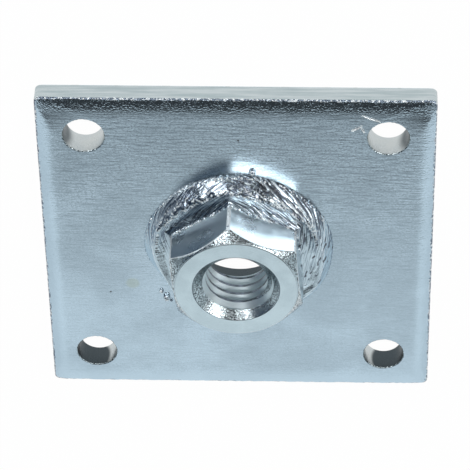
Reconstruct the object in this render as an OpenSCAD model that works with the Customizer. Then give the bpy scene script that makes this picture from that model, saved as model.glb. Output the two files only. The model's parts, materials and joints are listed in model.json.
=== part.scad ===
// Weld nut plate: a blanked square plate with a hexagon nut welded over a clearance hole.
// The back of the plate lies on z = 0, and the nut's axis is the Z axis.

/* [Plate] */
// Length of each side of the square plate
plate_side = 52.5; // [48:0.5:80]
// Thickness of the plate
plate_t = 3; // [2:0.5:6]
// Radius of the plate's four upright corners
corner_r = 0.8; // [0.3:0.1:3]
// How far in from the edge the front face starts to roll over
edge_roll_w = 2.2; // [0.6:0.1:3]
// How far the front face has dropped when it reaches the edge
edge_roll_drop = 0.3; // [0.1:0.05:0.5]

/* [Holes] */
// Distance between neighbouring screw holes, centre to centre
hole_pitch = 40; // [38:0.5:41.5]
// Diameter of the screw holes
hole_d = 5.5; // [3:0.1:6.5]
// Radius of the rolled rim at the front of each screw hole
hole_roll_r = 0.1; // [0.05:0.05:0.5]
// Diameter of the clearance hole behind the nut
clearance_d = 13.5; // [10.5:0.1:14.5]

/* [Nut] */
// Width of the nut across its flats
nut_flats = 17; // [16:0.1:19]
// Height of the nut
nut_h = 8; // [6:0.5:12]
// Angle by which the nut is turned against the plate's sides
nut_turn = 5.6; // [-15:0.1:15]
// Diameter of the flat ring left on each end face by the corner chamfer
nut_face_d = 16.5; // [15.5:0.1:16.8]
// Slope of the corner chamfer, measured from the end face
nut_chamfer_angle = 44; // [20:1:50]
// Nominal diameter of the thread
thread_d = 10; // [8:0.5:10.5]
// Pitch of the thread
thread_pitch = 1.5; // [1:0.25:1.75]
// Diameter of the countersink at the mouth of the thread
mouth_csk_d = 11.7; // [10.6:0.1:13]
// Diameter of the countersink at the plate's end of the thread
back_csk_d = 10.6; // [10.6:0.1:13]

/* [Weld] */
// Reach of the bead on the plate, measured out from the nut's flats
weld_leg = 4.65; // [3.2:0.05:5.5]
// Height of the bead on the nut's flats
weld_h = 2.4; // [1.5:0.1:4]
// How much higher the bead is on the side where most metal was laid
weld_swell = 0.3; // [0:0.05:0.6]
// Direction of that side, counted from +X
weld_swell_angle = 30; // [-180:5:180]
// How far the outer toe is drawn out along Y and in along X
weld_oval = 0.2; // [0:0.05:0.4]
// How far the toe is drawn in where least metal was laid
weld_hollow = 1.3; // [0:0.1:1.6]
// Direction of that hollow, counted from +X
weld_hollow_angle = -150; // [-180:5:180]
// Height of the crest that runs along the bead, over a plain fillet
weld_crest = 0.3; // [0:0.05:0.5]
// Depth of the groove between the crest and the nut
weld_dip = 0.3; // [0:0.05:0.5]
// Number of ripples round the bead
ripple_count = 48; // [24:6:60]
// Depth of a ripple
ripple_depth = 0.14; // [0:0.02:0.3]
// Ripples by which a ridge leads at the toe, because the torch was held at a slant
ripple_slant = 1.2; // [-2:0.1:2]
// Ripples by which the middle of a ridge trails its two ends
ripple_bow = 0.8; // [0:0.1:1.5]

/* [Spatter] */
// Diameter of the largest droplet
droplet_d = 1; // [0.6:0.05:1.4]
// Share of a droplet's height that has sunk into a flat foot on the plate
droplet_sink = 0.3; // [0.1:0.05:0.5]
// Space between a droplet and the toe of a bead without a hollow
droplet_gap = 0.08; // [0.05:0.01:0.5]

/* [Hidden] */
$fn = 96;

// How far a cutter runs past the faces that it opens
cut_past = 1;
// Radius of the arc that drops by edge_roll_drop over edge_roll_w
edge_roll_r = (edge_roll_w * edge_roll_w + edge_roll_drop * edge_roll_drop) / (2 * edge_roll_drop);
// Diameter of the crests of the internal thread: 5/8 of the sharp thread's height is left on each side
thread_minor_d = thread_d - 2 * 5 / 8 * thread_pitch * sin(60);
// Width of the nut across its corners
nut_corners = nut_flats / cos(30);
// Sections of the bead round each ripple, and points across each section
sections_per_ripple = 5;
rows_across = 14;
sections = ripple_count * sections_per_ripple;
// How sharply the bead rises from its toe: 1 is a straight fillet
weld_fullness = 3;
// Where the crest and the groove run, from 0 at the toe to 1 on the nut, and how wide they are
crest_at = 0.34;
crest_w = 0.14;
dip_at = 0.7;
dip_w = 0.17;
// Angle over which the hollow in the toe fades out
hollow_w = 24;
// Angle and relative diameter of each droplet, counted from +X
droplets = [[81, 0.9], [-137, 1], [-142, 0.6], [-133, 0.45]];
zinc = [0.72, 0.76, 0.79];
zinc_on_nut = [0.66, 0.72, 0.76];
zinc_on_weld = [0.58, 0.6, 0.62];

// Side view of the plate: flat below, rolled over at both ends of its top edge
module rolled_profile() {
    flat_half = plate_side / 2 - edge_roll_w;
    translate([-flat_half, 0]) square([2 * flat_half, plate_t]);
    for (side = [-1, 1]) {
        intersection() {
            translate([side * flat_half, plate_t - edge_roll_r]) circle(edge_roll_r);
            translate([side * (flat_half + edge_roll_w / 2), plate_t / 2])
                square([edge_roll_w, plate_t], center = true);
        }
    }
}

// A square with round corners, as the die cuts it
module plate_outline() {
    inner = plate_side - 2 * corner_r;
    square([plate_side, inner], center = true);
    square([inner, plate_side], center = true);
    for (x = [-1, 1], y = [-1, 1]) {
        translate([x * inner / 2, y * inner / 2]) circle(corner_r);
    }
}

// A punched hole with a rolled rim at the front face
module punched_hole(diameter, roll) {
    translate([0, 0, -cut_past]) cylinder(d = diameter, h = plate_t + 2 * cut_past);
    rotate_extrude() {
        difference() {
            translate([0, plate_t - roll]) square([diameter / 2 + roll, roll + cut_past]);
            translate([diameter / 2 + roll, plate_t - roll]) circle(roll);
        }
    }
}

module base_plate() {
    color(zinc) difference() {
        intersection() {
            linear_extrude(plate_t) plate_outline();
            rotate([90, 0, 0]) linear_extrude(2 * plate_side, center = true) rolled_profile();
            rotate([90, 0, 90]) linear_extrude(2 * plate_side, center = true) rolled_profile();
        }
        for (x = [-1, 1], y = [-1, 1]) {
            translate([x * hole_pitch / 2, y * hole_pitch / 2, 0]) punched_hole(hole_d, hole_roll_r);
        }
        translate([0, 0, -cut_past]) cylinder(d = clearance_d, h = plate_t + 2 * cut_past);
    }
}

// The turned envelope that chamfers the hexagon's corners at both ends
module chamfer_envelope() {
    corner = nut_corners / 2 + cut_past;
    drop = (corner - nut_face_d / 2) * tan(nut_chamfer_angle);
    rotate_extrude() {
        polygon([
            [0, 0],
            [nut_face_d / 2, 0],
            [corner, drop],
            [corner, nut_h - drop],
            [nut_face_d / 2, nut_h],
            [0, nut_h]
        ]);
    }
}

// A right-angled countersink whose wide end lies on z = 0 and which narrows upwards
module countersink(wide_d) {
    translate([0, 0, -cut_past])
        cylinder(d1 = wide_d + 2 * cut_past, d2 = 0, h = wide_d / 2 + cut_past);
}

module hex_nut() {
    color(zinc_on_nut) translate([0, 0, plate_t]) difference() {
        intersection() {
            rotate([0, 0, 90 + nut_turn]) cylinder(d = nut_corners, h = nut_h, $fn = 6);
            chamfer_envelope();
        }
        translate([0, 0, -cut_past]) cylinder(d = thread_minor_d, h = nut_h + 2 * cut_past);
        countersink(back_csk_d);
        translate([0, 0, nut_h]) mirror([0, 0, 1]) countersink(mouth_csk_d);
    }
}

// Distance from the axis to the nut's side, in the direction a
function hex_radius(a) =
    let (from_corner = (a - nut_turn - 90) - 60 * floor((a - nut_turn - 90) / 60))
    nut_flats / 2 / cos(from_corner - 30);

// Ripples run from 0 in a groove to 1 on a ridge: a slow rise and a steep fall along the bead
function ripple(a, u) =
    let (
        lead = ripple_slant * (1 - u) - ripple_bow * 4 * u * (1 - u),
        phase = ripple_count * a / 360 + lead,
        along = phase - floor(phase)
    )
    sin(180 * pow(along, 1.5));

// A smooth bump: 1 in its middle, and faded out a little beyond its width
function bell(away, width) = exp(-pow(away / width, 2));

// The shorter turn from one direction to another
function turn_between(a, b) = ((a - b) % 360 + 540) % 360 - 180;

function plain_toe(a) = nut_flats / 2 + weld_leg - weld_oval * cos(2 * a) + ripple_depth * ripple(a, 0);

function toe_radius(a) = plain_toe(a) - weld_hollow * bell(turn_between(a, weld_hollow_angle), hollow_w);

function bead_height(a) = weld_h + weld_swell * cos(a - weld_swell_angle);

// A point of the bead's surface: u is 0 at the toe on the plate and 1 on the nut
function bead_point(a, u) =
    let (
        r = toe_radius(a) + (hex_radius(a) - toe_radius(a)) * u,
        rise = 1 - pow(1 - u, weld_fullness),
        crest = weld_crest * bell(u - crest_at, crest_w) - weld_dip * bell(u - dip_at, dip_w),
        h = (bead_height(a) + ripple_depth * (ripple(a, u) - 1)) * rise + crest * sin(180 * u)
    )
    [r * cos(a), r * sin(a), h];

function bead_foot(a) = [hex_radius(a) * cos(a), hex_radius(a) * sin(a), 0];

// One closed ring of sections: each has a foot at the nut, then its rows from the toe to the nut
module weld_bead() {
    ring = rows_across + 2;
    angles = [for (i = [0:sections - 1]) nut_turn + 90 + 360 * i / sections];
    points = [
        for (a = angles)
            each concat([bead_foot(a)], [for (j = [0:rows_across]) bead_point(a, j / rows_across)])
    ];
    faces = [
        for (i = [0:sections - 1], j = [0:ring - 1])
            let (
                next_i = (i + 1) % sections,
                next_j = (j + 1) % ring,
                here = i * ring + j,
                up = i * ring + next_j,
                beside = next_i * ring + j,
                across = next_i * ring + next_j
            )
            each [[here, up, across], [here, across, beside]]
    ];
    color(zinc_on_weld) translate([0, 0, plate_t]) polyhedron(points, faces, convexity = 8);
}

// A droplet that has flattened its foot on the plate
module droplet(diameter) {
    intersection() {
        translate([0, 0, diameter * (0.5 - droplet_sink)]) sphere(d = diameter, $fn = 48);
        translate([-diameter, -diameter, 0]) cube(2 * diameter);
    }
}

module weld_spatter() {
    color(zinc_on_weld) for (drop = droplets) {
        diameter = droplet_d * drop[1];
        reach = plain_toe(drop[0]) + ripple_depth + droplet_gap + diameter / 2;
        translate([reach * cos(drop[0]), reach * sin(drop[0]), plate_t]) droplet(diameter);
    }
}

base_plate();
hex_nut();
weld_bead();
weld_spatter();
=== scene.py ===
import json
import math
from contextlib import contextmanager
from types import SimpleNamespace

import bmesh
import bpy
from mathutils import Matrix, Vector, noise


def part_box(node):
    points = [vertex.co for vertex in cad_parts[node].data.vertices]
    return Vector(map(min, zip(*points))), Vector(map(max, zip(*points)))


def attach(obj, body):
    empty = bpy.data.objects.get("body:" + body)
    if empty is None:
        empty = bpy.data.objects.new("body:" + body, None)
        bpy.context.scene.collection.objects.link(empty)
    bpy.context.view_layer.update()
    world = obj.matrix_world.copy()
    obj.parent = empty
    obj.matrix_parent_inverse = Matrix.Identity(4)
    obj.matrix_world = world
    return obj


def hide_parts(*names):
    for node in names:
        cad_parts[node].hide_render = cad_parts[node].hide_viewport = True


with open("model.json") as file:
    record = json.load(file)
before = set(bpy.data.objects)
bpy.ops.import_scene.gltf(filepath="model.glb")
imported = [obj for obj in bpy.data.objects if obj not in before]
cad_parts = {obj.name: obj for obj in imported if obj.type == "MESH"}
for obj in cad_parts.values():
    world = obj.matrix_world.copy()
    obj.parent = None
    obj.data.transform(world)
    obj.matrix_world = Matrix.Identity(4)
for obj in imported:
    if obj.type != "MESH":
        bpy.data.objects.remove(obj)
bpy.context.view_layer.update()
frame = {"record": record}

bl_info = {
    "name": "Weld nut plate",
    "version": (1, 0, 0),
    "blender": (4, 5, 0),
    "location": "View3D > Sidebar > Nut plate",
    "description": "Models and finishes a zinc plated plate with a hexagon nut welded to it",
    "category": "Object",
}

# Pieces are shaped in millimetres and brought to metres when they are finished
MM = 0.001
MOUNTS = {mount["name"]: mount for mount in frame["record"]["mounts"]}
THREAD = MOUNTS["nut_thread"]["dims"]
SCREWS = MOUNTS["screw_holes"]["dims"]
PLATE_LOW, PLATE_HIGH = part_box("base_plate")
NUT_LOW, NUT_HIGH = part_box("hex_nut")


def length(name, description, millimetres):
    """A length that a user can change, given here in millimetres."""
    return bpy.props.FloatProperty(
        name=name, description=description, default=millimetres * MM, precision=5, unit="LENGTH"
    )


def angle(name, description, degrees):
    """An angle that a user can change, given here in degrees."""
    return bpy.props.FloatProperty(
        name=name, description=description, default=math.radians(degrees), subtype="ANGLE"
    )


def factor(name, description, default):
    """A plain number that a user can change."""
    return bpy.props.FloatProperty(name=name, description=description, default=default)


def colour(name, description, default):
    """A colour that a user can change."""
    return bpy.props.FloatVectorProperty(
        name=name, description=description, default=default, size=3, min=0.0, max=1.0, subtype="COLOR"
    )


class PlateSettings(bpy.types.PropertyGroup):
    """Sizes of the blanked plate"""

    side: length("Side", "Length of each side of the plate", (PLATE_HIGH.x - PLATE_LOW.x) / MM)
    thickness: length("Thickness", "Thickness of the plate", (PLATE_HIGH.z - PLATE_LOW.z) / MM)
    corner: length("Corner", "Radius of the upright corners", 0.8)
    roll_width: length("Roll width", "How far in from the edge the front face starts to roll over", 3.5)
    roll_drop: length("Roll drop", "How far the front face has dropped at the edge", 0.3)
    roll_power: factor("Roll power", "How much of the drop lies close to the edge", 2.8)
    roll_spread: factor("Roll spread", "How much rounder the roll's corners get for each length inwards", 1.0)
    corner_drop: length("Corner drop", "How much lower the front face lies at a corner", 0.12)
    corner_reach: length("Corner reach", "How far from a corner the front face starts to drop", 6.5)
    lip: length("Lip", "Width of the worn line along the edge of the roll", 0.14)
    burr: length("Back edge", "Width of the worn edge round the back", 0.12)
    hole_pitch: length("Hole pitch", "Distance between screw holes", SCREWS["spacing_x_mm"])
    hole_radius: length("Hole radius", "Radius of the screw holes", SCREWS["hole_r_mm"])
    hole_roll: length("Hole roll", "Radius of the rolled rim of a hole", 0.14)
    hole_taper: length("Hole taper", "How much nearer to its axis a screw hole's wall is at the back", 0.3)
    clearance: length("Clearance radius", "Radius of the hole behind the nut", 6.75)


class NutSettings(bpy.types.PropertyGroup):
    """Sizes of the hexagon nut and its thread"""

    flats: length("Flats", "Width across the flats", 17.0)
    height: length("Height", "Height of the nut", (NUT_HIGH.z - NUT_LOW.z) / MM)
    turn: angle("Turn", "How far the nut is turned against the plate", 5.6)
    edge: length("Edge", "Radius of the six upright edges", 0.3)
    break_edge: length("Broken edge", "Width of the worn edges", 0.09)
    face_radius: length("Face radius", "Radius of the flat ring on each end", 8.25)
    chamfer: angle("Chamfer", "Slope of the corner chamfer", 44.0)
    mouth_radius: length("Mouth", "Radius of the countersink at the mouth", 5.85)
    back_radius: length("Back", "Radius of the countersink at the plate", 5.3)
    crest_radius: length("Crests", "Radius at the crests of the thread", THREAD["r_mm"])
    root_radius: length("Roots", "Radius at the roots of the thread", 5.0)
    pitch: length("Pitch", "Distance between two turns of the thread", 1.5)
    thread_start: angle("Start", "Direction in which the thread starts", -94.0)


class WeldSettings(bpy.types.PropertyGroup):
    """Sizes of the weld bead and its spatter"""

    leg: length("Leg", "Reach of the bead from the nut's flats", 4.55)
    height: length("Height", "Height of the bead on the nut", 2.3)
    swell: length("Swell", "Extra height on the side with most metal", 0.3)
    swell_side: angle("Swell side", "Direction of the side with most metal", 30.0)
    oval: length("Oval", "How far the toe is drawn out along Y", 0.2)
    hollow: length("Hollow", "How far the toe is drawn in where least metal was laid", 1.3)
    hollow_side: angle("Hollow side", "Direction of the hollow in the toe", -150.0)
    crest: length("Crest", "Height of the crest over the fillet", 0.3)
    crest_at: factor("Crest place", "Where the crest runs, from 0 at the toe to 1 on the nut", 0.34)
    dip: length("Dip", "Depth of the groove beside the nut", 0.3)
    ripples: bpy.props.IntProperty(name="Ripples", description="Ripples round the bead", default=52, min=12)
    ripple_depth: length("Ripple depth", "Depth of a ripple", 0.03)
    tick: length("Tick", "Height of the fine ticks along the crest", 0.09)
    run_start: angle("Run start", "Direction in which the two runs start", 95.0)
    lean: factor("Lean", "How far the streaks run inwards for each length along the bead", 0.25)
    streak: length("Streak", "Width of a streak", 0.14)
    streak_depth: length("Streak depth", "Depth of the streaks", 0.1)
    streak_side: angle("Streak side", "Direction of the side with the deepest streaks", 52.0)
    grain: length("Grain", "Height of the rough skin", 0.012)
    soot_side: angle("Soot side", "Direction of the side with most scale", 132.0)
    burnt_side: angle("Burnt side", "Direction of the patches where the run was burnt", 84.0)


class FinishSettings(bpy.types.PropertyGroup):
    """Colours of the plating"""

    zinc: colour("Zinc", "Plating on the plate", (0.76, 0.87, 0.96))
    zinc_dull: colour("Dull zinc", "Thin or dull plating", (0.46, 0.54, 0.60))
    nut_zinc: colour("Nut", "Plating on the nut", (0.73, 0.81, 0.84))
    weld_zinc: colour("Weld", "Plating on the weld", (0.79, 0.88, 0.93))
    # Slate also colours the painted shadow along the weld's toe and the painted shade on the thread's crests
    # and the mouth's rim.
    slate: colour("Slate", "Tarnish on the weld", (0.2, 0.24, 0.3))
    # The darkest colour of the weld's dark mask, which also carries a painted shadow along the toe, and of
    # the plate's specks.
    soot_and_shade: colour("Soot", "Scale left in the grooves of the weld", (0.12, 0.11, 0.115))
    side_zinc: colour("Cut sides", "Plating on the cut sides", (0.43, 0.51, 0.53))
    wall_zinc: colour("Walls", "Plating on the walls of the holes", (0.57, 0.61, 0.61))
    # This pale colour also makes painted highlights: the pale, less metallic spots on the weld and the less
    # metallic share of worn edges.
    worn: colour("Worn", "Edges that were rubbed bright", (0.92, 0.95, 0.96))
    # This dark colour is steel in the turned pits, and painted shade on the walls of the holes, the thread's
    # crests and the mouth's rim.
    bare_and_shade: colour("Bare", "Steel where the plating is thin", (0.035, 0.05, 0.06))
    stain: colour("Stain", "A yellowish drying stain", (0.68, 0.74, 0.66))


class StageSettings(bpy.types.PropertyGroup):
    """Camera, floor and light"""

    camera_at: bpy.props.FloatVectorProperty(
        name="Camera", description="Place of the camera", size=3, subtype="TRANSLATION", unit="LENGTH",
        default=(0.0141, 0.2896, 0.3083),
    )
    camera_turn: bpy.props.FloatVectorProperty(
        name="Camera turn", description="Turn of the camera", size=3, subtype="EULER",
        default=tuple(math.radians(a) for a in (-43.25, 1.873, -0.8935)),
    )
    lens: bpy.props.FloatProperty(
        name="Lens", description="Focal length on a 36 mm sensor", default=238.5, subtype="DISTANCE_CAMERA"
    )
    floor_size: length("Floor", "Side of the floor", 12000.0)
    floor_glow: factor("Floor glow", "Share of the floor's white that isn't shaded", 0.985)


SETTINGS = {
    "nut_plate_plate": PlateSettings,
    "nut_plate_nut": NutSettings,
    "nut_plate_weld": WeldSettings,
    "nut_plate_finish": FinishSettings,
    "nut_plate_stage": StageSettings,
}


def own_properties(settings):
    """The properties that a group of settings adds itself."""
    return [prop for prop in settings.bl_rna.properties if prop.identifier not in ("rna_type", "name")]


def in_millimetres(settings):
    """A group's values by name, with its lengths in millimetres."""
    values = {}
    for prop in own_properties(settings):
        value = getattr(settings, prop.identifier)
        values[prop.identifier] = value / MM if prop.unit == "LENGTH" else value
    return SimpleNamespace(**values)


def rgba(values):
    """A colour with full alpha."""
    return (*values, 1.0)


def palette(settings):
    """A group's colours by name, with full alpha."""
    names = [prop.identifier for prop in own_properties(settings)]
    return SimpleNamespace(**{name: rgba(getattr(settings, name)) for name in names})


# Tools for shaping a piece


# Points of one piece that lie closer together than this are one point, in millimetres
MERGE = 1e-4


def add(primitive, name, **options):
    """Add a primitive with nothing else selected, and put its place into its mesh."""
    bpy.ops.object.select_all(action="DESELECT")
    primitive(**options)
    piece = bpy.context.view_layer.objects.active
    piece.name = name
    piece.data.name = name
    bpy.ops.object.transform_apply(location=True, rotation=True, scale=True)
    return piece


def make_active(piece):
    """Select one piece and nothing else."""
    bpy.ops.object.select_all(action="DESELECT")
    piece.select_set(True)
    bpy.context.view_layer.objects.active = piece


@contextmanager
def editing(piece):
    """Edit mode on one piece."""
    make_active(piece)
    bpy.ops.object.mode_set(mode="EDIT")
    yield
    bpy.ops.object.mode_set(mode="OBJECT")


def pick(piece, kind, test):
    """In edit mode, select just the verts, edges or faces that pass a test."""
    bpy.ops.mesh.select_mode(type=kind)
    bpy.ops.mesh.select_all(action="DESELECT")
    mesh = bmesh.from_edit_mesh(piece.data)
    items = {"VERT": mesh.verts, "EDGE": mesh.edges, "FACE": mesh.faces}[kind]
    for item in items:
        if test(item):
            item.select_set(True)
    bmesh.update_edit_mesh(piece.data)


def face_outwards(piece):
    """In edit mode, turn all normals outwards."""
    bpy.ops.mesh.select_all(action="SELECT")
    bpy.ops.mesh.normals_make_consistent(inside=False)
    if bmesh.from_edit_mesh(piece.data).calc_volume(signed=True) < 0:
        bpy.ops.mesh.flip_normals()


def apply_modifier(piece, kind, **values):
    """Add a modifier and apply it."""
    make_active(piece)
    modifier = piece.modifiers.new(kind.lower(), kind)
    for key, value in values.items():
        setattr(modifier, key, value)
    bpy.ops.object.modifier_apply(modifier=modifier.name)


def cut(piece, tool, operation="DIFFERENCE"):
    """Cut a piece with a tool, and throw the tool away."""
    apply_modifier(piece, "BOOLEAN", object=tool, operation=operation, solver="MANIFOLD")
    bpy.data.objects.remove(tool)


def point_ring(name, points):
    """A closed chain of edges through (radius, height) points in the XZ plane."""
    piece = add(
        bpy.ops.mesh.primitive_circle_add, name, vertices=len(points), radius=1.0, fill_type="NOTHING"
    )
    for vert, (radius, height) in zip(piece.data.vertices, points):
        vert.co = (radius, 0.0, height)
    return piece


def open_line(name, points):
    """A chain of edges that isn't closed, through (radius, height) points in the XZ plane."""
    piece = point_ring(name, points)
    last = len(points) - 1
    with editing(piece):
        pick(piece, "EDGE", lambda edge: {v.index for v in edge.verts} == {0, last})
        bpy.ops.mesh.delete(type="EDGE")
    return piece


def turned(name, outline, steps):
    """A solid turned about Z from a closed outline of (radius, height) points."""
    piece = point_ring(name, outline)
    with editing(piece):
        bpy.ops.mesh.select_all(action="SELECT")
        bpy.ops.mesh.spin(steps=steps, angle=2 * math.pi, center=(0, 0, 0), axis=(0, 0, 1))
        bpy.ops.mesh.select_all(action="SELECT")
        bpy.ops.mesh.remove_doubles(threshold=MERGE)
        face_outwards(piece)
    return piece


def arc(centre, radius, start, end, steps):
    """Points along an arc, from one angle to another, in degrees."""
    points = []
    for step in range(steps + 1):
        a = math.radians(start + (end - start) * step / steps)
        points.append((centre[0] + radius * math.cos(a), centre[1] + radius * math.sin(a)))
    return points


def ease(low, high, value):
    """A smooth step from 0 to 1."""
    t = min(max((value - low) / (high - low), 0.0), 1.0)
    return t * t * (3 - 2 * t)


def hump(phase):
    """A round ridge between two sharp grooves, 0 to 1."""
    along = phase - math.floor(phase)
    return 1 - (2 * along - 1) ** 2


def bell(value, middle, width):
    """A smooth bump, 1 in the middle."""
    return math.exp(-(((value - middle) / width) ** 2))


def smooth(piece, degrees):
    """Smooth shading below an angle, with flat faces kept flat."""
    make_active(piece)
    bpy.ops.object.shade_smooth_by_angle(angle=math.radians(degrees))
    apply_modifier(piece, "WEIGHTED_NORMAL", mode="FACE_AREA", weight=100, keep_sharp=True)


def crisp(piece, degrees, is_flat):
    """Smooth shading below an angle, with a sharp border round each flat face."""
    make_active(piece)
    bpy.ops.object.shade_smooth_by_angle(angle=math.radians(degrees))
    with editing(piece):
        pick(piece, "FACE", is_flat)
        bpy.ops.mesh.region_to_loop()
        bpy.ops.mesh.mark_sharp()


def check_closed(piece):
    """Stop if a piece isn't a closed mesh."""
    mesh = bmesh.new()
    mesh.from_mesh(piece.data)
    loose = sum(not edge.is_manifold for edge in mesh.edges)
    faces = len(mesh.faces)
    mesh.free()
    if loose or not faces:
        raise RuntimeError(f"{piece.name} isn't closed: {loose} loose edges, {faces} faces")


def deliver(piece, node, slot, *materials):
    """Bring a finished piece to metres, and put it in the place of its CAD node."""
    check_closed(piece)
    make_active(piece)
    piece.scale = (MM, MM, MM)
    bpy.ops.object.transform_apply(location=False, rotation=False, scale=True)
    for index, material in enumerate(materials):
        if index < len(piece.data.materials):
            piece.data.materials[index] = material
        else:
            piece.data.materials.append(material)
    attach(piece, "root")
    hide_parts(node)


# Tools for materials


VALUE = "NodeSocketFloat"
VECTOR = "NodeSocketVector"


def feed(tree, socket, value):
    """Link a socket to another node's output, or set it to a plain value."""
    if isinstance(value, bpy.types.NodeSocket):
        tree.links.new(value, socket)
    else:
        socket.default_value = value


def add_node(tree, kind, inputs=None, **values):
    """Add a node, set its values, and set or link its inputs."""
    made = tree.nodes.new(kind)
    for key, value in values.items():
        setattr(made, key, value)
    for key, value in (inputs or {}).items():
        feed(tree, made.inputs[key], value)
    return made


def math_node(tree, operation, first, second=0.0):
    """A Math node's result."""
    return add_node(tree, "ShaderNodeMath", {0: first, 1: second}, operation=operation).outputs[0]


def times(tree, first, second):
    """The product of two values."""
    return math_node(tree, "MULTIPLY", first, second)


def plus(tree, first, second):
    """The sum of two values."""
    return math_node(tree, "ADD", first, second)


def larger(tree, first, second):
    """The larger one of two values."""
    return math_node(tree, "MAXIMUM", first, second)


def mix_colour(tree, mask, first, second):
    """Blend two colours by a mask."""
    made = add_node(tree, "ShaderNodeMix", data_type="RGBA")
    sockets = {socket.identifier: socket for socket in made.inputs}
    for key, value in {"Factor_Float": mask, "A_Color": first, "B_Color": second}.items():
        feed(tree, sockets[key], value)
    return next(socket for socket in made.outputs if socket.identifier == "Result_Color")


def remap(tree, value, low, high, to_low=0.0, to_high=1.0):
    """A value moved from one range to another, without going past its ends."""
    inputs = {"Value": value, "From Min": low, "From Max": high, "To Min": to_low, "To Max": to_high}
    return add_node(tree, "ShaderNodeMapRange", inputs, interpolation_type="SMOOTHSTEP").outputs[0]


def noise_value(tree, place, scale, detail, roughness):
    """The value of a noise field at a place."""
    inputs = {"Vector": place, "Scale": scale, "Detail": detail, "Roughness": roughness}
    return add_node(tree, "ShaderNodeTexNoise", inputs).outputs["Fac"]


def new_group(name, inputs, outputs):
    """A new node group with named inputs and outputs: its tree, and the sockets at both of its ends."""
    tree = bpy.data.node_groups.new(name, "ShaderNodeTree")
    for socket, kind in inputs.items():
        tree.interface.new_socket(socket, in_out="INPUT", socket_type=kind)
    for socket in outputs:
        tree.interface.new_socket(socket, in_out="OUTPUT", socket_type=VALUE)
    enter = tree.nodes.new("NodeGroupInput")
    leave = tree.nodes.new("NodeGroupOutput")
    return tree, enter.outputs, leave.inputs


def stretched_noise_group():
    """Node group: noise that is drawn out along one direction, such as rolling lines."""
    name = "drawn_out_noise"
    if name in bpy.data.node_groups:
        return bpy.data.node_groups[name]
    tree, enter, leave = new_group(
        name, {"Place": VECTOR, "Stretch": VECTOR, "Detail": VALUE}, ("Height",)
    )
    scaled = add_node(
        tree, "ShaderNodeVectorMath", {0: enter["Place"], 1: enter["Stretch"]}, operation="MULTIPLY"
    )
    feed(tree, leave["Height"], noise_value(tree, scaled.outputs[0], 1.0, enter["Detail"], 0.6))
    return tree


def zinc_cloud_group():
    """Node group: slow clouds in the plating, and its fine grain."""
    name = "zinc_cloud"
    if name in bpy.data.node_groups:
        return bpy.data.node_groups[name]
    tree, enter, leave = new_group(
        name, {"Place": VECTOR, "Cloud Scale": VALUE, "Grain Scale": VALUE}, ("Cloud", "Grain")
    )
    cloud = noise_value(tree, enter["Place"], enter["Cloud Scale"], 4.0, 0.55)
    grain = noise_value(tree, enter["Place"], enter["Grain Scale"], 2.0, 0.7)
    feed(tree, leave["Cloud"], remap(tree, cloud, 0.3, 0.7))
    feed(tree, leave["Grain"], grain)
    return tree


def drawn_out(tree, place, stretch, detail=3.0):
    """Noise drawn out along one direction."""
    inputs = {"Place": place, "Stretch": stretch, "Detail": detail}
    return add_node(tree, "ShaderNodeGroup", inputs, node_tree=stretched_noise_group()).outputs["Height"]


def zinc_cloud(tree, place, cloud_scale, grain_scale):
    """Clouds and grain of the plating."""
    inputs = {"Place": place, "Cloud Scale": cloud_scale, "Grain Scale": grain_scale}
    made = add_node(tree, "ShaderNodeGroup", inputs, node_tree=zinc_cloud_group())
    return made.outputs["Cloud"], made.outputs["Grain"]


def round_spot(tree, place, centre, radius, soft):
    """A mask that is 1 inside a round spot, with its sizes in millimetres."""
    centre = tuple(part * MM for part in centre)
    away = add_node(tree, "ShaderNodeVectorMath", {0: place, 1: centre}, operation="DISTANCE")
    return remap(tree, away.outputs["Value"], (radius - soft) * MM, (radius + soft) * MM, 1.0, 0.0)


def metal(name):
    """A new metal: its node tree, its shader and the place on the piece."""
    material = bpy.data.materials.new(name)
    material.use_nodes = True
    tree = material.node_tree
    shader = next(node for node in tree.nodes if node.type == "BSDF_PRINCIPLED")
    shader.inputs["Metallic"].default_value = 1.0
    place = add_node(tree, "ShaderNodeTexCoord").outputs["Object"]
    return material, tree, shader, place


def dress(tree, shader, base, roughness, height, skin):
    """Give a metal its colour, roughness and bumpy skin: a height of 1 stands out by skin, in metres."""
    feed(tree, shader.inputs["Base Color"], base)
    feed(tree, shader.inputs["Roughness"], roughness)
    bump = add_node(tree, "ShaderNodeBump", {"Height": height, "Distance": skin})
    feed(tree, shader.inputs["Normal"], bump.outputs["Normal"])


# Finishes of the plate


# Marks on the front face: places in millimetres
STAIN_AT = (-14.5, -6.8)
SPECKS_AT = ((0.3, 19.4), (-17.6, -8.5))

# Painted shade on the walls of the holes, in the dark colour: centre, radius and soft border in millimetres,
# and the share of the wall's colour that is painted over
PAINTED_SHADE_PATCHES = (
    ((-22.9, 19.9, 1.5), 2.1, 0.7, 0.8),
    ((22.8, 19.6, 1.5), 2.1, 0.7, 0.8),
    ((-21.2, -22.4, 1.6), 2.9, 0.3, 0.94),
    ((21.2, -22.6, 1.6), 2.9, 0.3, 0.94),
    ((0.0, -7.5, 1.5), 5.5, 0.3, 0.94),
)


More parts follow.
